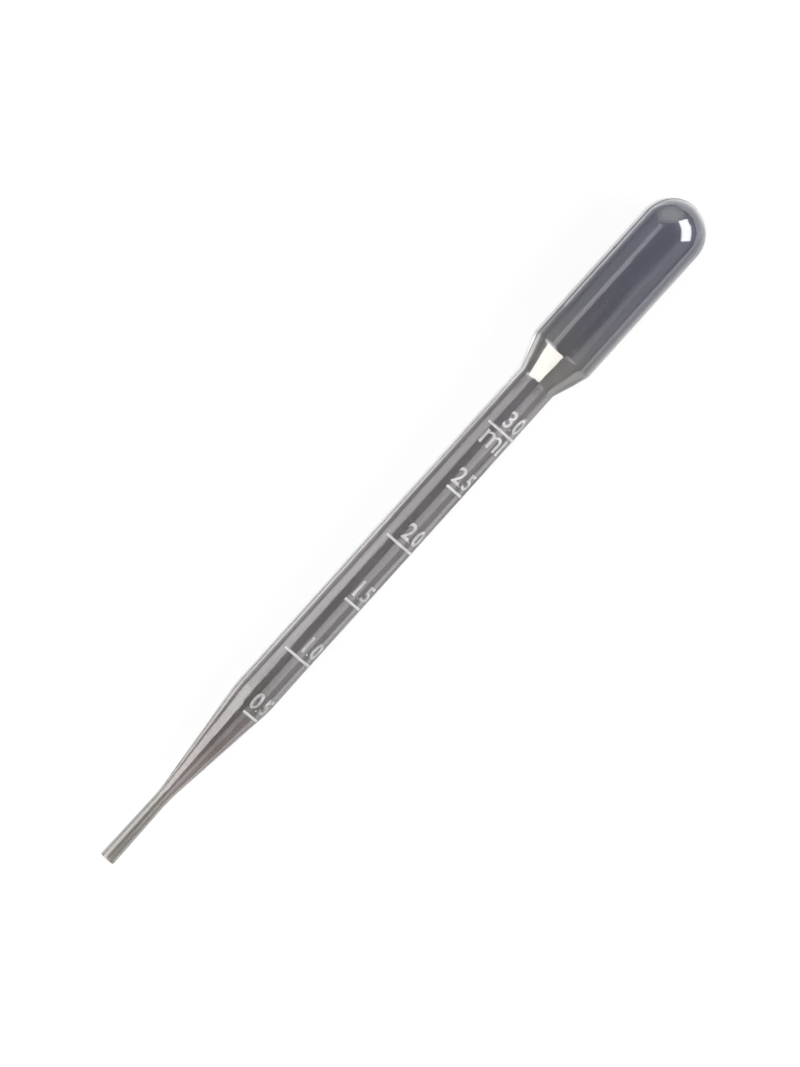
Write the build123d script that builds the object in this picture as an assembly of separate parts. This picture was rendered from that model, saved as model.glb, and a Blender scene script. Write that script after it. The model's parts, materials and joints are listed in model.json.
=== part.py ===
from build123d import *
import os
from math import asin, atan2, degrees, hypot, pi, tan

# A graduated dropper pipette, blown in one piece from soft, clear polyethylene: a drawn tip,
# a long taper, a straight measuring stem, a short shoulder and a squeeze bulb with a round crown.
# The wall is thin and the inside is open from the tip's mouth to the crown.
# Sizes are in millimetres and angles in degrees. The tube is drawn along +X with its mouth at X = 0
# and its scale facing +Z, then rolled and laid down as it comes to rest.

# Lengths along the axis, from the open mouth to the crown
tip_length = 15.2
taper_length = 23.3
stem_length = 75.0
shoulder_length = 6.5
bulb_length = 35.0  # round crown included

# Outside diameters
mouth_diameter = 2.95
neck_diameter = 2.6  # where the tip meets the taper
stem_diameter = 7.9
bulb_diameter = 12.6

# Bore and walls
tip_bore = 1.6
stem_wall = 0.5
bulb_wall = 0.4
wall_drift = 0.05  # how far the inside stands off the outside's axis, away from the side it lies on

# Blends of the outside, in the plane of the axis
neck_blend = 30.0
taper_blend = 24.0
shoulder_blend = 1.6
bulb_blend = 1.8

# Graduations: raised arcs on the outside, one for each half millilitre
mark_count = 6
mark_volume = 500.0  # cubic millimetres of bore between one mark and the next
first_mark = 36.0  # from the mouth to the lowest mark
mark_width = 0.5
mark_height = 0.16
half_mark_arc = (-30.0, 28.0)  # angles about the axis, from the middle of the scale
full_mark_arc = (-61.0, 40.0)

# Moulding seam, where the two halves of the mould met: a fine ridge on each flank of the scale
seam_angle = 81.0  # from the middle of the scale to the ridge on its right; the other lies opposite
seam_width = 0.3
seam_height = 0.07

# Where the middle of the scale faces as the pipette lies, from straight up
scale_roll = 36.0

# Stations along the axis
stem_start = tip_length + taper_length
shoulder_start = stem_start + stem_length
bulb_start = shoulder_start + shoulder_length
total_length = bulb_start + bulb_length
crown_centre = total_length - bulb_diameter / 2

stem_radius = stem_diameter / 2
bulb_radius = bulb_diameter / 2
stem_bore_radius = stem_radius - stem_wall
mark_pitch = mark_volume / (pi * stem_bore_radius**2)


def turned(mouth, neck, stem, bulb, offset):
    """Solid of revolution about the X axis through four radii, closed by a round crown.

    offset is how far this skin stands outside the tube's own: it opens the blends of the
    outward corners and tightens those of the inward ones, so that the skins run parallel.
    """
    with BuildSketch() as half:
        with BuildLine():
            side = FilletPolyline(
                (0, mouth),
                (tip_length, neck),
                (stem_start, stem),
                (shoulder_start, stem),
                (bulb_start, bulb),
                (crown_centre, bulb),
                radius=(
                    neck_blend - offset,
                    taper_blend + offset,
                    shoulder_blend - offset,
                    bulb_blend + offset,
                ),
            )
            crown = JernArc(side @ 1, (1, 0), bulb, -90)
            Polyline(crown @ 1, (0, 0), (0, mouth))
        make_face()
    return revolve(half.sketch, axis=Axis.X)


def outside(growth=0.0):
    """Outer form of the tube, or the same form grown by a height all over."""
    return turned(
        mouth_diameter / 2 + growth,
        neck_diameter / 2 + growth,
        stem_radius + growth,
        bulb_radius + growth,
        growth,
    )


def inside():
    """The open space within: tip bore, taper, stem bore and bulb.

    A blown wall is never quite even, and the pipette comes to rest with its heavier side below,
    so as it lies this space stands a little above the outside's axis.
    """
    space = turned(tip_bore / 2, tip_bore / 2, stem_bore_radius, bulb_radius - bulb_wall, -stem_wall)
    return Rot(-scale_roll, 0, 0) * Pos(0, 0, wall_drift) * space


def fan(station, start, end):
    """Slice of a disc about the axis, as thick as a mark is wide, from one angle to the other.

    Angles run from the middle of the scale, positive to its right when the bulb is held up.
    """
    across = Plane(origin=(station, 0, 0), x_dir=(0, 0, 1), z_dir=(1, 0, 0))
    rim = CenterArc((0, 0), bulb_diameter, start, end - start)
    face = make_face(Curve() + [rim, Polyline(rim @ 1, (0, 0), rim @ 0)])
    return extrude(across * face, mark_width / 2, both=True)


def graduations():
    """Raised marks that follow the tube where they lie, long at each whole millilitre.

    The lowest mark lies on the taper, so each is cut from the outer form grown by its height.
    """
    form = outside(mark_height)
    marks = []
    for number in range(1, mark_count + 1):
        start, end = full_mark_arc if number % 2 == 0 else half_mark_arc
        station = first_mark + (number - 1) * mark_pitch
        marks.append(form & fan(station, start, end))
    return marks


def seam():
    """Ridge of the parting line, from the foot of the taper over the crown and back."""
    length = total_length - tip_length + bulb_radius
    slab = Box(length, 2 * bulb_diameter, seam_width, align=(Align.MIN, Align.CENTER, Align.CENTER))
    return outside(seam_height) & (Pos(tip_length, 0, 0) * Rot(seam_angle - 90, 0, 0) * slab)


def rest_tilt():
    """Angle by which the axis rises towards the bulb on a flat surface.

    The pipette touches at the blend between taper and stem and at the blend between shoulder
    and bulb, so the surface is the common tangent below those two blend circles.
    """
    taper_angle = atan2(stem_radius - neck_diameter / 2, taper_length)
    shoulder_angle = atan2(bulb_radius - stem_radius, shoulder_length)
    stem_circle = stem_start + taper_blend * tan(taper_angle / 2)
    bulb_circle = bulb_start + bulb_blend * tan(shoulder_angle / 2)
    run = bulb_circle - stem_circle
    drop = (bulb_radius - bulb_blend) - (stem_radius - taper_blend)
    return degrees(atan2(drop, run) + asin((bulb_blend - taper_blend) / hypot(run, drop)))


def laid_down(tube):
    """The tube rolled and tilted to its rest, standing on Z = 0 with its box centred on the origin."""
    resting = Rot(0, -rest_tilt(), 0) * Rot(scale_roll, 0, 0) * tube
    box = resting.bounding_box()
    return Pos(-box.center().X, -box.center().Y, -box.min.Z) * resting


def pipette():
    """The whole pipette: outer form, seam and marks, less the space within."""
    return laid_down(outside() + seam() + graduations() - inside())


os.makedirs("parts", exist_ok=True)
export_step(pipette(), "parts/pipette.step")
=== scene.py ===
# Graduated dropper pipette of clear plastic, its wall tinted grey with painted shade, lying on a
# pale floor
import bpy
import bmesh
import json
import math
from mathutils import Matrix, Quaternion, Vector, noise


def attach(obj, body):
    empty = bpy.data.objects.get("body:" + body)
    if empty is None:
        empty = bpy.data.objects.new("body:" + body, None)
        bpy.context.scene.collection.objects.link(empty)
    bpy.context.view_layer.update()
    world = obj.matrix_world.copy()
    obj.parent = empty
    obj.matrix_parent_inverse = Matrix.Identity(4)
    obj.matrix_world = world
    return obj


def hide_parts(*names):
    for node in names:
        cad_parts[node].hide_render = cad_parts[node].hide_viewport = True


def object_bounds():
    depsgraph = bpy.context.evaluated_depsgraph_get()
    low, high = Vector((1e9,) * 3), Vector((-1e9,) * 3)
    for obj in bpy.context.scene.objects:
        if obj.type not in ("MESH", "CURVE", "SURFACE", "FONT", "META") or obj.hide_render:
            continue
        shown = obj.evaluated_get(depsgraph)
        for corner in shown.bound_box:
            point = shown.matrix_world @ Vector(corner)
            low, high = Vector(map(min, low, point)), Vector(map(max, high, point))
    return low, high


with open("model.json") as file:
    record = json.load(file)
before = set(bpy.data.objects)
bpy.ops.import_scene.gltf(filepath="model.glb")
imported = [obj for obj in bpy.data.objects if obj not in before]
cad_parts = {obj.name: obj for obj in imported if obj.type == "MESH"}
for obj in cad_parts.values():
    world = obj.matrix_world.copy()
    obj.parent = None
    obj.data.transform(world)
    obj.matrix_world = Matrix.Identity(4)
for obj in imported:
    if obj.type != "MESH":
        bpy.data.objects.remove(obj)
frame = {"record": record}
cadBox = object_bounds()
print("frame loaded")

mm = 0.001
cutSnap = 0.0005  # a cut this close to a corner goes through the corner

# The tube is drawn in millimetres along +X from its open mouth, with its scale facing +Z
tube = {
    "tipEnd": 15.2,
    "stemStart": 38.5,
    "shoulderStart": 113.5,
    "bulbStart": 120.0,
    "crownCentre": 148.7,
    "stemMiddle": 76.54,
    "mouthRadius": 1.475,
    "neckRadius": 1.3,
    "stemRadius": 3.95,
    "bulbRadius": 6.3,
    "boreRadius": 0.8,
    "stemWall": 0.5,
    "bulbWall": 0.4,
    "wallDrift": 0.05,  # the inside stands this much above the outside's middle as the pipette lies
    "outerBlends": (30.0, 24.0, 1.6, 1.8),  # neck, taper, shoulder, bulb
    "innerBlends": (30.5, 23.5, 2.1, 1.3),
    "blendRows": 5,
    "crownRows": 16,
    "lipRound": 0.12,
    "lipRows": 3,
    "lipDepth": 0.2,  # the mouth's own faces lie within this and wear the outer skin
    "rowLength": 2.4,
    "endRow": 0.2,
    "turns": 160,
    "weld": 0.002,
    "scaleRoll": 36.0,  # how far the scale faces from straight up
}
outerSkin, innerSkin = 0, 1  # material slots of the tube

stemMount = next(m for m in frame["record"]["mounts"] if m["name"] == "stem")
along = -Vector(stemMount["axis"])
mouthPlace = Vector(stemMount["pos_m"]) - along * tube["stemMiddle"] * mm
asItLies = (
    Matrix.Translation(mouthPlace)
    @ Matrix.Rotation(-math.asin(along.z), 4, "Y")
    @ Matrix.Rotation(math.radians(tube["scaleRoll"]), 4, "X")
    @ Matrix.Scale(mm, 4)
)


def drawSide(bm, corners, blends):
    # half outline from the mouth to the crown's top, with its corners blended
    spots = [Vector((x, y, 0)) for x, y in corners]
    points = [bm.verts.new(spot) for spot in spots]
    for near, far in zip(points, points[1:]):
        bm.edges.new((near, far))
    bmesh.ops.spin(bm, geom=[points[-1]], cent=(tube["crownCentre"], 0, 0), axis=(0, 0, 1),
                   angle=-math.pi / 2, steps=tube["crownRows"])
    for i, blend in enumerate(blends, 1):
        turn = (spots[i] - spots[i - 1]).angle(spots[i + 1] - spots[i])
        bmesh.ops.bevel(bm, geom=[points[i]], affect="VERTICES", offset=blend * math.tan(turn / 2),
                        offset_type="OFFSET", segments=tube["blendRows"], profile=0.5, material=-1)
    return points[0]


def outward(co):
    # unit direction from the tube's middle, or from the crown's centre inside the crown
    middle = Vector((min(co.x, tube["crownCentre"]), 0, 0))
    return (co - middle).normalized()


def skinVerts(bm, slot):
    return {v for f in bm.faces if f.material_index == slot for v in f.verts}


def blowTube():
    t = tube
    stemBore = t["stemRadius"] - t["stemWall"]
    bulbBore = t["bulbRadius"] - t["bulbWall"]
    bm = bmesh.new()
    outerLip = drawSide(bm, [(0, t["mouthRadius"]), (t["tipEnd"], t["neckRadius"]),
                             (t["stemStart"], t["stemRadius"]),
                             (t["shoulderStart"], t["stemRadius"]),
                             (t["bulbStart"], t["bulbRadius"]),
                             (t["crownCentre"], t["bulbRadius"])], t["outerBlends"])
    innerLip = drawSide(bm, [(0, t["boreRadius"]), (t["tipEnd"], t["boreRadius"]),
                             (t["stemStart"], stemBore), (t["shoulderStart"], stemBore),
                             (t["bulbStart"], bulbBore), (t["crownCentre"], bulbBore)],
                        t["innerBlends"])
    bm.edges.new((outerLip, innerLip))
    bmesh.ops.bevel(bm, geom=[outerLip, innerLip], affect="VERTICES", offset=t["lipRound"],
                    offset_type="OFFSET", segments=t["lipRows"], profile=0.5, material=-1)
    for edge in [e for e in bm.edges if e.calc_length() > 1.5 * t["rowLength"]]:
        # a narrow row at either end keeps the shading of a straight run straight
        for end in edge.verts[:]:
            bmesh.utils.edge_split(edge, end, t["endRow"] / edge.calc_length())
        bmesh.ops.subdivide_edges(bm, edges=[edge], cuts=int(edge.calc_length() / t["rowLength"]))
    bmesh.ops.spin(bm, geom=bm.verts[:] + bm.edges[:], cent=(0, 0, 0), axis=(1, 0, 0),
                   angle=2 * math.pi, steps=t["turns"], use_merge=True)
    bmesh.ops.remove_doubles(bm, verts=bm.verts, dist=t["weld"])
    bmesh.ops.recalc_face_normals(bm, faces=bm.faces)
    for face in bm.faces:
        centre = face.calc_center_median()
        facesIn = face.normal.dot(outward(centre)) < 0
        face.smooth = True
        face.material_index = innerSkin if facesIn and centre.x > t["lipDepth"] else outerSkin
    # the inside moves up as the pipette lies, which leaves the wall thicker below
    rollBack = Matrix.Rotation(math.radians(-t["scaleRoll"]), 3, "X")
    bmesh.ops.translate(bm, verts=list(skinVerts(bm, innerSkin)),
                        vec=rollBack @ Vector((0, 0, t["wallDrift"])))
    return bm


# Parting line of the mould: a fine ridge down each flank, and a small nub on the bulb
seam = {
    "angle": 81.0,
    "width": 0.3,
    "height": 0.07,
    "cuts": (-1, -0.6, -0.2, 0.2, 0.6, 1),  # lines along the ridge, in shares of half its width
    "cutReach": 1.5,  # how far beside the parting plane faces are cut
    "runIn": 3,  # the ridge grows to its height over this length
    "nubStation": 140.0,
    "nubLength": 0.9,
    "nubHeight": 0.12,
    "nubCuts": 6,
    "nubReach": (3, 0.6),  # how far around the nub faces are cut, lengthways and sideways
}


def skinNear(bm, across, reach, start, end):
    # outer faces beside the parting plane between two stations, with their edges and corners
    faces = [f for f in bm.faces if f.material_index == outerSkin
             and start < f.calc_center_median().x < end
             and abs(f.calc_center_median().dot(across)) < reach]
    return list({v for f in faces for v in f.verts} | {e for f in faces for e in f.edges}) + faces


def raiseSeam(bm):
    turn = math.radians(seam["angle"])
    across = Vector((0, math.cos(turn), math.sin(turn)))
    side = across.cross(Vector((1, 0, 0)))
    half = seam["width"] / 2
    for share in seam["cuts"]:
        geom = skinNear(bm, across, seam["cutReach"], tube["tipEnd"] - 1, math.inf)
        bmesh.ops.bisect_plane(bm, geom=geom, dist=cutSnap, plane_co=across * half * share,
                               plane_no=across)
    nub, cuts = seam["nubStation"], seam["nubCuts"]
    lengthways, sideways = seam["nubReach"]
    for step in range(-cuts // 2, cuts // 2 + 1):
        geom = skinNear(bm, across, sideways, nub - lengthways, nub + lengthways)
        bmesh.ops.bisect_plane(bm, geom=geom, dist=cutSnap, plane_no=(1, 0, 0),
                               plane_co=(nub + step * seam["nubLength"] / cuts, 0, 0))
    for v in skinVerts(bm, outerSkin):
        away = abs(v.co.dot(across)) / half
        past = v.co.x - tube["tipEnd"]
        if away < 0.99 and past > 0:
            rise = seam["height"] * (1 - away ** 2) * min(1, past / seam["runIn"])
            near = abs(v.co.x - nub) / (seam["nubLength"] / 2)
            if near < 1 and v.co.dot(side) > 0:
                rise += seam["nubHeight"] * (1 - near ** 2) * (1 - away ** 2)
            v.co += outward(v.co) * rise


# How unevenly the inside was blown: lengths along the tube, and how often it changes around it
wander = {
    "depth": 0.06,
    "fadeIn": 12,
    "slow": (30, 1.6),
    "quick": (12, 4),
    "quickShare": 0.4,
    "quickPlace": 40,
}


def unevenWall(bm):
    # the inside wanders a little, as in anything blown, but not in the tip
    slowLength, slowAround = wander["slow"]
    quickLength, quickAround = wander["quick"]
    for v in skinVerts(bm, innerSkin):
        away = outward(v.co)
        fade = min(1, max(0, (v.co.x - tube["tipEnd"]) / wander["fadeIn"]))
        slow = noise.noise(Vector((v.co.x / slowLength, away.y * slowAround, away.z * slowAround)))
        quick = noise.noise(Vector((v.co.x / quickLength + wander["quickPlace"],
                                    away.y * quickAround, away.z * quickAround)))
        v.co += away * wander["depth"] * fade * (slow + wander["quickShare"] * quick)


def addObject(bm, name):
    mesh = bpy.data.meshes.new(name)
    bm.to_mesh(mesh)
    bm.free()
    piece = bpy.data.objects.new(name, mesh)
    bpy.context.scene.collection.objects.link(piece)
    return piece


def settle(bm, name, materials):
    # millimetres along the tube become metres where it lies
    bmesh.ops.transform(bm, matrix=asItLies, verts=bm.verts)
    piece = addObject(bm, name)
    for material in materials:
        piece.data.materials.append(material)
    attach(piece, "root")
    return piece


# Materials
ior = 1.5  # of polyethylene
paintedShade = {
    # reach along the tube, tint of the inside, tint of the outer skin; the grey tints are painted
    # shade for the dark seen through the clear wall, darker inside than in the outer skin
    "stops": (
        (0.085, (0.76, 0.71, 0.69), (0.275, 0.268, 0.247)),
        (0.11, (0.658, 0.611, 0.593), (0.344, 0.317, 0.311)),
        (0.18, (0.30, 0.265, 0.255), (0.50, 0.465, 0.455)),
        (0.28, (0.265, 0.25, 0.25), (0.66, 0.64, 0.645)),
        (0.71, (0.255, 0.238, 0.25), (0.66, 0.643, 0.655)),
        (0.755, (0.25, 0.24, 0.23), (0.62, 0.61, 0.595)),
        (0.82, (0.225, 0.22, 0.255), (0.58, 0.58, 0.61)),
        (0.93, (0.20, 0.205, 0.255), (0.57, 0.575, 0.61)),
    ),
    "streak": 0.2,  # how much its flow lines darken and lighten the tint
    "streakSpan": (0.25, 0.75),  # range of the noise that they use
}


def newMaterial(name):
    material = bpy.data.materials.new(name)
    material.use_nodes = True
    nodes = material.node_tree.nodes
    return material, nodes, material.node_tree.links, nodes["Principled BSDF"]


def mapRange(nodes, fromLow, fromHigh, toLow=0.0, toHigh=1.0):
    node = nodes.new("ShaderNodeMapRange")
    node.inputs["From Min"].default_value = fromLow
    node.inputs["From Max"].default_value = fromHigh
    node.inputs["To Min"].default_value = toLow
    node.inputs["To Max"].default_value = toHigh
    return node


def streaks(nodes, links, fine, longer, seed):
    # noise drawn out along the tube, as flow lines are
    place = nodes.new("ShaderNodeTexCoord")
    stretch = nodes.new("ShaderNodeMapping")
    stretch.inputs["Scale"].default_value = (1 / longer, 1 / fine, 1 / fine)
    stretch.inputs["Location"].default_value = (seed, 0, 0)
    cloud = nodes.new("ShaderNodeTexNoise")
    cloud.inputs["Scale"].default_value = 1.0
    cloud.inputs["Detail"].default_value = 3.0
    links.new(place.outputs["Object"], stretch.inputs["Vector"])
    links.new(stretch.outputs["Vector"], cloud.inputs["Vector"])
    return place, cloud


def paintedShadeAlong(nodes, links, place, cloud, slot, plastic):
    # painted shade from the tip through the stem to the bulb: a grey tint for the dark seen through
    # the clear plastic, a little streaked
    split = nodes.new("ShaderNodeSeparateXYZ")
    reach = mapRange(nodes, cadBox[0].x, cadBox[1].x)
    ramp = nodes.new("ShaderNodeValToRGB")
    stops = ramp.color_ramp.elements
    while len(stops) < len(paintedShade["stops"]):
        stops.new(0.5)
    for stop, (position, inside, outside) in zip(stops, paintedShade["stops"]):
        stop.position = position
        stop.color = (*(inside if slot == innerSkin else outside), 1)
    shade = mapRange(nodes, *paintedShade["streakSpan"], 1 - paintedShade["streak"], 1 + paintedShade["streak"])
    tint = nodes.new("ShaderNodeVectorMath")
    tint.operation = "SCALE"
    links.new(place.outputs["Object"], split.inputs["Vector"])
    links.new(split.outputs["X"], reach.inputs["Value"])
    links.new(reach.outputs["Result"], ramp.inputs["Fac"])
    links.new(cloud.outputs["Fac"], shade.inputs["Value"])
    links.new(ramp.outputs["Color"], tint.inputs["Vector"])
    links.new(shade.outputs["Result"], tint.inputs["Scale"])
    links.new(tint.outputs["Vector"], plastic.inputs["Base Color"])


def addBump(nodes, links, cloud, strength, depth, normal):
    bump = nodes.new("ShaderNodeBump")
    bump.inputs["Strength"].default_value = strength
    bump.inputs["Distance"].default_value = depth
    links.new(cloud.outputs["Fac"], bump.inputs["Height"])
    links.new(bump.outputs["Normal"], normal)


# Outer skin; widths, lengths and depths in metres
skinLook = {
    "flow": (0.0016, 0.03),  # width and length of a flow line
    "flowBump": (0.08, 0.00008),  # strength and depth
    "haze": (0.05, 0.12),  # least and most roughness
    "hazeSpan": (0.3, 0.7),
    "gloss": 0.04,  # roughness of the polished surface over it
    "ripple": (0.0009, 0.004),
    "rippleBump": (0.8, 0.00005),
}


def skinWithPaintedShade():
    # the outer skin: clear gloss over the lighter share of the painted shade
    material, nodes, links, plastic = newMaterial("skinWithPaintedShade")
    plastic.inputs["Transmission Weight"].default_value = 1.0
    plastic.inputs["IOR"].default_value = ior
    plastic.inputs["Coat Weight"].default_value = 1.0
    plastic.inputs["Coat Roughness"].default_value = skinLook["gloss"]
    plastic.inputs["Coat IOR"].default_value = ior
    place, flow = streaks(nodes, links, *skinLook["flow"], seed=0)
    paintedShadeAlong(nodes, links, place, flow, outerSkin, plastic)
    haze = mapRange(nodes, *skinLook["hazeSpan"], *skinLook["haze"])
    links.new(flow.outputs["Fac"], haze.inputs["Value"])
    links.new(haze.outputs["Result"], plastic.inputs["Roughness"])
    addBump(nodes, links, flow, *skinLook["flowBump"], plastic.inputs["Normal"])
    ripple = streaks(nodes, links, *skinLook["ripple"], seed=11)[1]
    addBump(nodes, links, ripple, *skinLook["rippleBump"], plastic.inputs["Coat Normal"])
    return material


insideLook = {"flow": (0.0022, 0.022), "roughness": 0.07}


def insidePaintedShade():
    # the inside: the darker share of the painted shade
    material, nodes, links, plastic = newMaterial("insidePaintedShade")
    plastic.inputs["Transmission Weight"].default_value = 1.0
    plastic.inputs["IOR"].default_value = ior
    plastic.inputs["Roughness"].default_value = insideLook["roughness"]
    place, flow = streaks(nodes, links, *insideLook["flow"], seed=7)
    paintedShadeAlong(nodes, links, place, flow, innerSkin, plastic)
    return material


# Painted highlight: white on the clear raised marks and numbers, where their edges would catch the
# light
paintedHighlight = {
    "white": (0.93, 0.93, 0.94, 1),
    "roughness": 0.4,
    "speckle": 0.0006,
    "speckleSpan": (0.35, 0.6),
    "showThroughSpan": (-0.04, 0.025),  # where along the pipette the show-through of the painted highlight changes from low to high
    "markShowThrough": (0.35, 0.35),  # how much the tube shows through, low and high on the scale
    "numberShowThrough": (0.85, 0.45),
}


def reliefWithPaintedHighlight(name, lowShowThrough, highShowThrough):
    # painted highlight: the relief is white, and the lower a number stands on the scale, the more
    # the tube shows through it
    material, nodes, links, plastic = newMaterial(name)
    plastic.inputs["Base Color"].default_value = paintedHighlight["white"]
    plastic.inputs["Roughness"].default_value = paintedHighlight["roughness"]
    plastic.inputs["IOR"].default_value = ior
    place, speckle = streaks(nodes, links, paintedHighlight["speckle"], paintedHighlight["speckle"], seed=3)
    showThrough = mapRange(nodes, *paintedHighlight["speckleSpan"])
    split = nodes.new("ShaderNodeSeparateXYZ")
    most = mapRange(nodes, *paintedHighlight["showThroughSpan"], lowShowThrough, highShowThrough)
    links.new(place.outputs["Object"], split.inputs["Vector"])
    links.new(split.outputs["X"], most.inputs["Value"])
    links.new(most.outputs["Result"], showThrough.inputs["To Max"])
    links.new(speckle.outputs["Fac"], showThrough.inputs["Value"])
    links.new(showThrough.outputs["Result"], plastic.inputs["Transmission Weight"])
    return material


skinMaterial = skinWithPaintedShade()
insideMaterial = insidePaintedShade()
# marks and numbers wear a painted highlight, white on the clear relief
markMaterial = reliefWithPaintedHighlight("marksPaintedHighlight", *paintedHighlight["markShowThrough"])
numberMaterial = reliefWithPaintedHighlight("numbersPaintedHighlight", *paintedHighlight["numberShowThrough"])
print("plastic and frost mixed")

shell = blowTube()
raiseSeam(shell)
unevenWall(shell)
pipette = settle(shell, "pipetteTube", [skinMaterial, insideMaterial])
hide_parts("pipette")
print("tube blown:", len(pipette.data.polygons), "faces")

# Raised graduations, one for each half millilitre
marks = {
    "first": 36.0,
    "pitch": 13.3716,
    "count": 6,
    "width": 0.5,
    "height": 0.16,
    "halfArc": (-30, 28),
    "fullArc": (-61, 40),
    "sink": 0.12,  # how deep their feet stand in the wall
    "crest": 0.6,  # share of the width that is flat on top
    "flank": 0.55,  # share of the height where the sides lean in
    "stepAngle": 3,
    "sharpTurn": 1.2,  # edges that turn more than this, in radians, are rounded
    "edgeRound": 0.05,
}


def skinRadius(station):
    # outside radius of the tube below a mark or a number
    t = tube
    taper = (t["stemRadius"] - t["neckRadius"]) / (t["stemStart"] - t["tipEnd"])
    blend = t["outerBlends"][1]
    tangent = blend * math.tan(math.atan(taper) / 2)
    if station > t["stemStart"] + tangent:
        return t["stemRadius"]
    if station > t["stemStart"] - tangent * math.cos(math.atan(taper)):
        back = t["stemStart"] + tangent - station
        return t["stemRadius"] - blend + math.sqrt(blend ** 2 - back ** 2)
    return t["stemRadius"] - (t["stemStart"] - station) * taper


def raiseMarks():
    bm = bmesh.new()
    half, height, foot = marks["width"] / 2, marks["height"], -marks["sink"]
    flank, crest = marks["flank"] * height, marks["crest"] * half
    outline = ((-half, foot), (-half, flank), (-crest, height),
               (crest, height), (half, flank), (half, foot))
    for number in range(1, marks["count"] + 1):
        station = marks["first"] + (number - 1) * marks["pitch"]
        start, end = marks["fullArc"] if number % 2 == 0 else marks["halfArc"]
        section = []
        for offset, rise in outline:
            reach = skinRadius(station + offset) + rise
            section.append(bm.verts.new((station + offset, 0, reach)))
        face = bm.faces.new(section)
        bmesh.ops.rotate(bm, verts=section, cent=(0, 0, 0),
                         matrix=Matrix.Rotation(math.radians(start), 3, "X"))
        bmesh.ops.spin(bm, geom=section + face.edges[:] + [face], cent=(0, 0, 0), axis=(1, 0, 0),
                       angle=math.radians(end - start),
                       steps=round((end - start) / marks["stepAngle"]))
    bmesh.ops.recalc_face_normals(bm, faces=bm.faces)
    sharp = [e for e in bm.edges
             if len(e.link_faces) == 2 and e.calc_face_angle() > marks["sharpTurn"]]
    bmesh.ops.bevel(bm, geom=sharp, affect="EDGES", offset=marks["edgeRound"],
                    offset_type="OFFSET", segments=2, profile=0.5, material=-1)
    for face in bm.faces:
        face.smooth = True
    return bm


graduations = settle(raiseMarks(), "graduations", [markMaterial])
print("graduations raised")

# Raised numbers between the marks, read with the bulb held up
numbers = {
    "labels": ("0.5", "1.0", "1.5", "2.0", "2.5", "3.0"),
    "height": 3.4,
    "squeeze": 0.76,
    "lifts": (1.2, 1.2, 1.2, 1.2, 1.05, 0.9),  # from each mark's middle up to its number
    "places": (-20.0, 13.5),  # angles from the middle of the scale
    "dotPlace": -4.0,
    "dotSize": 0.3,
    "dotSqueeze": 0.8,
    "relief": 0.15,
    "stroke": -0.004,  # how much the letters are fattened
    "unitHeight": 2.9,
    "unitDrop": 1.0,
    "unitSqueeze": 0.88,
    "unitStroke": -0.02,
    "unitPlaces": (-20.5, 16.5),
    "tallerUnit": 1.12,  # the l stands this much higher than the m
    "columnWidth": 0.3,  # width of the strips that let a letter bend
    "plateDepth": 0.03,  # depth and rounding of a letter as typed, one unit high
    "plateRound": 0.02,
    "curveSteps": 5,
    "weld": 0.0005,
    "shortestEdge": 0.002,
}


def typeLetter(letter, stroke):
    # a solid letter with rounded edges, as it comes out of the font
    curve = bpy.data.curves.new("letter", "FONT")
    curve.body = letter
    curve.size = 1.0
    curve.offset = stroke
    curve.extrude = numbers["plateDepth"]
    curve.bevel_depth = numbers["plateRound"]
    curve.bevel_resolution = 1
    curve.resolution_u = numbers["curveSteps"]
    typed = bpy.data.objects.new("letter", curve)
    bpy.context.scene.collection.objects.link(typed)
    bpy.context.view_layer.update()
    depsgraph = bpy.context.evaluated_depsgraph_get()
    solid = bpy.data.meshes.new_from_object(typed.evaluated_get(depsgraph))
    bpy.data.objects.remove(typed)
    letterMesh = bmesh.new()
    letterMesh.from_mesh(solid)
    bmesh.ops.remove_doubles(letterMesh, verts=letterMesh.verts, dist=numbers["weld"])
    return letterMesh


def drawLetter(letter, height, squeeze, stroke):
    # the letter at its size, its foot at the origin and its middle on x = 0
    letterMesh = typeLetter(letter, stroke)
    verts = letterMesh.verts
    low = Vector([min(v.co[i] for v in verts) for i in range(3)])
    high = Vector([max(v.co[i] for v in verts) for i in range(3)])
    size = high - low
    bmesh.ops.translate(letterMesh, verts=verts, vec=(-(low.x + high.x) / 2, -low.y, -low.z))
    deep = numbers["relief"] + marks["sink"]
    grow = height / size.y
    width = size.x * grow * squeeze
    bmesh.ops.scale(letterMesh, verts=verts, vec=(grow * squeeze, grow, deep / size.z))
    bmesh.ops.dissolve_degenerate(letterMesh, edges=letterMesh.edges,
                                  dist=numbers["shortestEdge"])
    columns = int(width / numbers["columnWidth"])
    for i in range(1, columns):
        geom = letterMesh.verts[:] + letterMesh.edges[:] + letterMesh.faces[:]
        bmesh.ops.bisect_plane(letterMesh, geom=geom, dist=cutSnap, plane_no=(1, 0, 0),
                               plane_co=(width * (i / columns - 0.5), 0, 0))
    return letterMesh


def wrapOnTube(bm, letterMesh, station, angle):
    # bends a flat letter round the tube and adds it to the rest
    for v in letterMesh.verts:
        foot = station + v.co.y
        radius = skinRadius(foot)
        turn = math.radians(angle) + v.co.x / radius
        reach = radius + v.co.z - marks["sink"]
        v.co = Vector((foot, -reach * math.sin(turn), reach * math.cos(turn)))
    bmesh.ops.recalc_face_normals(letterMesh, faces=letterMesh.faces)
    if letterMesh.calc_volume(signed=True) < 0:
        bmesh.ops.reverse_faces(letterMesh, faces=letterMesh.faces)
    bent = bpy.data.meshes.new("bent")
    letterMesh.to_mesh(bent)
    letterMesh.free()
    bm.from_mesh(bent)
    bpy.data.meshes.remove(bent)


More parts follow.
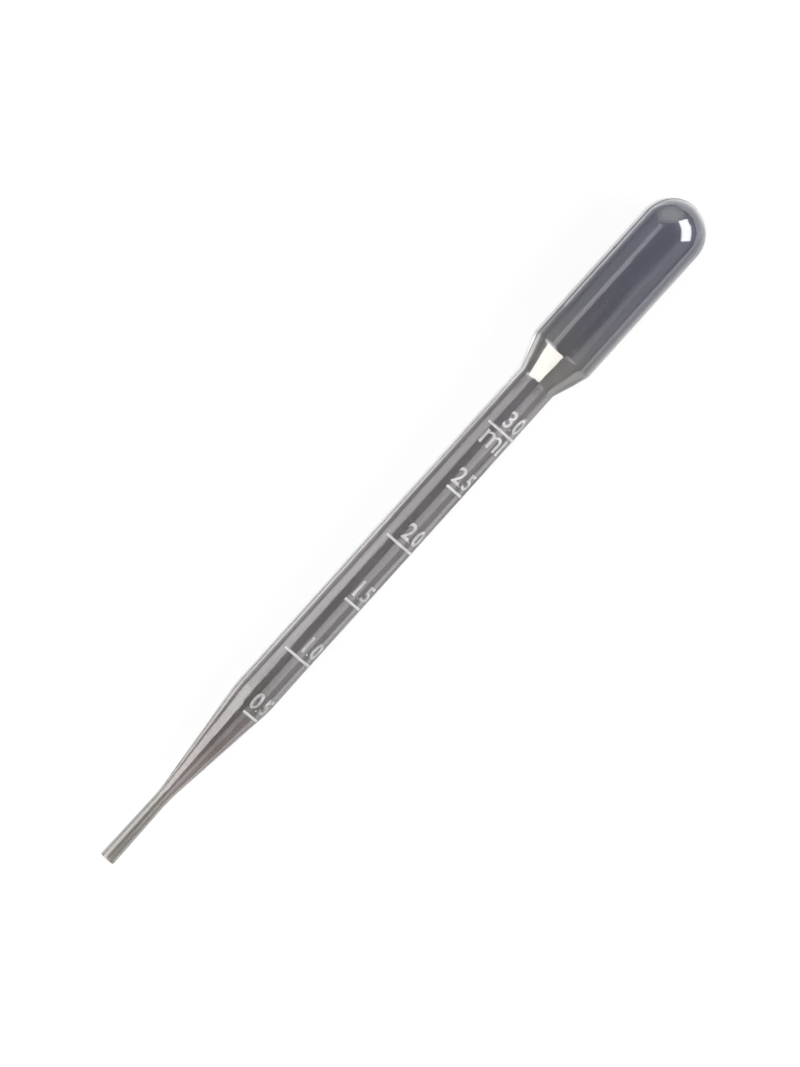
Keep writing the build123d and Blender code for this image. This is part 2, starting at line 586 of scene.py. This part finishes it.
def raiseNumbers():
    bm = bmesh.new()
    n = numbers
    for i, label in enumerate(n["labels"]):
        station = marks["first"] + i * marks["pitch"] + n["lifts"][i]
        for digit, angle in zip(label.replace(".", ""), n["places"]):
            wrapOnTube(bm, drawLetter(digit, n["height"], n["squeeze"], n["stroke"]),
                       station, angle)
        wrapOnTube(bm, drawLetter(".", n["dotSize"], n["dotSqueeze"], n["stroke"]),
                   station, n["dotPlace"])
    # the unit hangs below the highest mark
    topMark = marks["first"] + (marks["count"] - 1) * marks["pitch"]
    foot = topMark - n["unitDrop"] - n["unitHeight"]
    wrapOnTube(bm, drawLetter("m", n["unitHeight"], n["unitSqueeze"], n["unitStroke"]),
               foot, n["unitPlaces"][0])
    wrapOnTube(bm, drawLetter("l", n["unitHeight"] * n["tallerUnit"], 1.0, n["stroke"]),
               foot, n["unitPlaces"][1])
    for face in bm.faces:
        face.smooth = False
    return bm


scaleNumbers = settle(raiseNumbers(), "scaleNumbers", [numberMaterial])
print("numbers raised:", len(scaleNumbers.data.polygons), "faces")

# Floor, light and camera
studio = {
    "floorSize": 3,
    "floorGrey": 0.4,
    "floorGlow": 0.77,
    # each light: place, where along the tube it aims, turn about its own middle,
    # width, height, radiance, shape
    "mattLights": {
        "softLeft": ((-0.78, 0.41, 0.47), 0, 0, 1.2, 1.0, 1.5, "RECTANGLE"),
        "softRight": ((0.25, -0.80, 0.45), 0, 0, 1.0, 0.8, 2.0, "RECTANGLE"),
    },
    # no two of these lie in one plane, where a reflection would show only one of them
    "glossLights": {
        "shoulderBox": ((-0.697, 0.346, 0.627), 0, 32, 1.2, 0.54, 8.0, "RECTANGLE"),
        "crownBox": ((0.684, -0.507, 0.662), 0.08, 0, 1.25, 0.63, 8.0, "RECTANGLE"),
        "crownGlow": ((0.668, 0.536, 0.39), 0.06, 45, 1.3, 1.3, 0.55, "ELLIPSE"),
        "crownHeart": ((0.655, 0.524, 0.38), 0.06, 45, 0.85, 0.85, 0.3, "ELLIPSE"),
        "stemBox": ((-0.1335, 0.418, 0.357), -0.1335, 0, 0.333, 0.46, 1.6, "RECTANGLE"),
        "stemGlow": ((-0.165, 0.402, 0.343), -0.165, 0, 0.28, 0.64, 0.95, "ELLIPSE"),
        "tipBox": ((-0.195, 0.410, 0.350), -0.195, 0, 0.21, 0.5, 1.3, "RECTANGLE"),
        "taperBox": ((-0.224, 0.1833, 0.4652), -0.224, 0, 0.052, 0.098, 3.1, "RECTANGLE"),
        "bulbBox": ((0.0615, 0.347, 0.427), 0.0615, 0, 0.053, 0.14, 1.25, "RECTANGLE"),
        "fillBox": ((-0.066, -0.47, 0.647), -0.066, 0, 0.184, 0.58, 1.3, "RECTANGLE"),
        "bulbFill": ((0.03, -0.575, 0.556), 0.03, 0, 0.10, 0.34, 0.22, "ELLIPSE"),
        "taperFill": ((-0.28, -0.39, 0.698), -0.28, 0, 0.2, 0.423, 1.0, "RECTANGLE"),
    },
    "warmLights": ("shoulderBox", "crownGlow", "crownHeart"),
    "warmTint": (1.0, 0.985, 0.9),
    # brightness of the sky by height
    "sky": ((0.0, 0.15), (0.1, 0.2), (0.18, 0.48), (0.5, 0.58), (0.7, 0.5), (0.87, 0.18),
            (1.0, 0.1)),
    # cards on the floor, seen only in the tube's gloss and through its wall:
    # start and end along it, near edge, far edge, brightness
    "cards": {
        "stemCard": (-0.090, 0.040, 0.010, 0.036, 2.1),
        "bulbCard": (0.050, 0.090, 0.019, 0.033, 2.0),
        "rimCard": (-0.085, 0.040, -0.006, -0.016, 0.45),
        "lineCard": (-0.085, 0.030, -0.016, -0.055, 1.5),
        "greyCard": (0.040, 0.085, -0.007, -0.050, 0.75),
        "leftShade": (-0.30, 0.20, 0.0365, 1.5, 0.3),
    },
    "cardLift": 0.0002,
    "distance": 0.9,
    "frameHeight": 0.188,
    "sensor": 36.0,
    "turn": -48.0,
}


def largerOf(nodes, links, first, second):
    node = nodes.new("ShaderNodeMath")
    node.operation = "MAXIMUM"
    links.new(first, node.inputs[0])
    links.new(second, node.inputs[1])
    return node.outputs[0]


def layFloor():
    # glows only where it is looked at, in a reflection or through the plastic, and lights nothing
    bm = bmesh.new()
    bmesh.ops.create_grid(bm, x_segments=1, y_segments=1, size=studio["floorSize"])
    floor = addObject(bm, "floor")
    material, nodes, links, plain = newMaterial("paleFloor")
    nodes.remove(plain)
    matt = nodes.new("ShaderNodeBsdfDiffuse")
    matt.inputs["Color"].default_value = (studio["floorGrey"],) * 3 + (1,)
    glow = nodes.new("ShaderNodeEmission")
    path = nodes.new("ShaderNodeLightPath")
    seen = largerOf(nodes, links, path.outputs["Is Camera Ray"], path.outputs["Is Glossy Ray"])
    seenToo = largerOf(nodes, links, seen, path.outputs["Is Transmission Ray"])
    level = nodes.new("ShaderNodeMath")
    level.operation = "MULTIPLY"
    level.inputs[1].default_value = studio["floorGlow"]
    both = nodes.new("ShaderNodeAddShader")
    links.new(seenToo, level.inputs[0])
    links.new(level.outputs[0], glow.inputs["Strength"])
    links.new(matt.outputs[0], both.inputs[0])
    links.new(glow.outputs[0], both.inputs[1])
    links.new(both.outputs[0], nodes["Material Output"].inputs["Surface"])
    floor.data.materials.append(material)


def layCard(name):
    # a card on the floor along the tube
    start, end, near, far, level = studio["cards"][name]
    bm = bmesh.new()
    bmesh.ops.create_grid(bm, x_segments=1, y_segments=1, size=0.5)
    bmesh.ops.scale(bm, verts=bm.verts, vec=(end - start, abs(far - near), 1))
    bmesh.ops.translate(bm, verts=bm.verts,
                        vec=((start + end) / 2, (near + far) / 2, studio["cardLift"]))
    card = addObject(bm, name)
    material, nodes, links, plain = newMaterial(name)
    nodes.remove(plain)
    glow = nodes.new("ShaderNodeEmission")
    glow.inputs["Strength"].default_value = level
    links.new(glow.outputs[0], nodes["Material Output"].inputs["Surface"])
    card.data.materials.append(material)
    card.visible_camera = False
    card.visible_diffuse = False
    card.visible_shadow = False


def lightSky():
    world = bpy.data.worlds.new("studio")
    bpy.context.scene.world = world
    world.use_nodes = True
    nodes, links = world.node_tree.nodes, world.node_tree.links
    place = nodes.new("ShaderNodeTexCoord")
    split = nodes.new("ShaderNodeSeparateXYZ")
    sky = nodes.new("ShaderNodeValToRGB")
    stops = sky.color_ramp.elements
    while len(stops) < len(studio["sky"]):
        stops.new(0.5)
    for stop, (height, level) in zip(stops, studio["sky"]):
        stop.position, stop.color = height, (level, level, level, 1)
    links.new(place.outputs["Generated"], split.inputs[0])
    links.new(split.outputs["Z"], sky.inputs["Fac"])
    # looked at directly, the sky shows as plain white
    path = nodes.new("ShaderNodeLightPath")
    shown = largerOf(nodes, links, sky.outputs["Color"], path.outputs["Is Camera Ray"])
    nodes["Background"].inputs["Color"].default_value = (1, 1, 1, 1)
    links.new(shown, nodes["Background"].inputs["Strength"])


def hangLights(lights, inGloss):
    # matt lights work on dull surfaces only, gloss lights only on the gloss and through the wall
    for name, (place, aim, turn, width, height, level, shape) in lights.items():
        lamp = bpy.data.lights.new(name, "AREA")
        lamp.shape = shape
        lamp.size = width
        lamp.size_y = height
        lamp.color = studio["warmTint"] if name in studio["warmLights"] else (1, 1, 1)
        area = width * height * (math.pi / 4 if shape == "ELLIPSE" else 1)
        lamp.energy = level * math.pi * area
        hung = bpy.data.objects.new(name, lamp)
        hung.location = place
        facing = (Vector(place) - Vector((aim, 0, 0))).to_track_quat("Z", "Y")
        hung.rotation_euler = (facing @ Quaternion((0, 0, 1), math.radians(turn))).to_euler()
        hung.visible_diffuse = not inGloss
        hung.visible_glossy = inGloss
        hung.visible_transmission = inGloss
        bpy.context.scene.collection.objects.link(hung)


def aimCamera():
    scene = bpy.context.scene
    lens = bpy.data.cameras.new("camera")
    lens.sensor_fit = "VERTICAL"
    lens.sensor_height = studio["sensor"]
    lens.lens = studio["sensor"] * studio["distance"] / studio["frameHeight"]
    camera = bpy.data.objects.new("camera", lens)
    middle = (cadBox[0] + cadBox[1]) / 2
    camera.location = (middle.x, middle.y, middle.z + studio["distance"])
    camera.rotation_euler = (0, 0, math.radians(studio["turn"]))
    scene.collection.objects.link(camera)
    scene.camera = camera


layFloor()
for cardName in studio["cards"]:
    layCard(cardName)
lightSky()
hangLights(studio["mattLights"], False)
hangLights(studio["glossLights"], True)
aimCamera()
bpy.context.scene.view_settings.view_transform = "Standard"
print("studio ready")
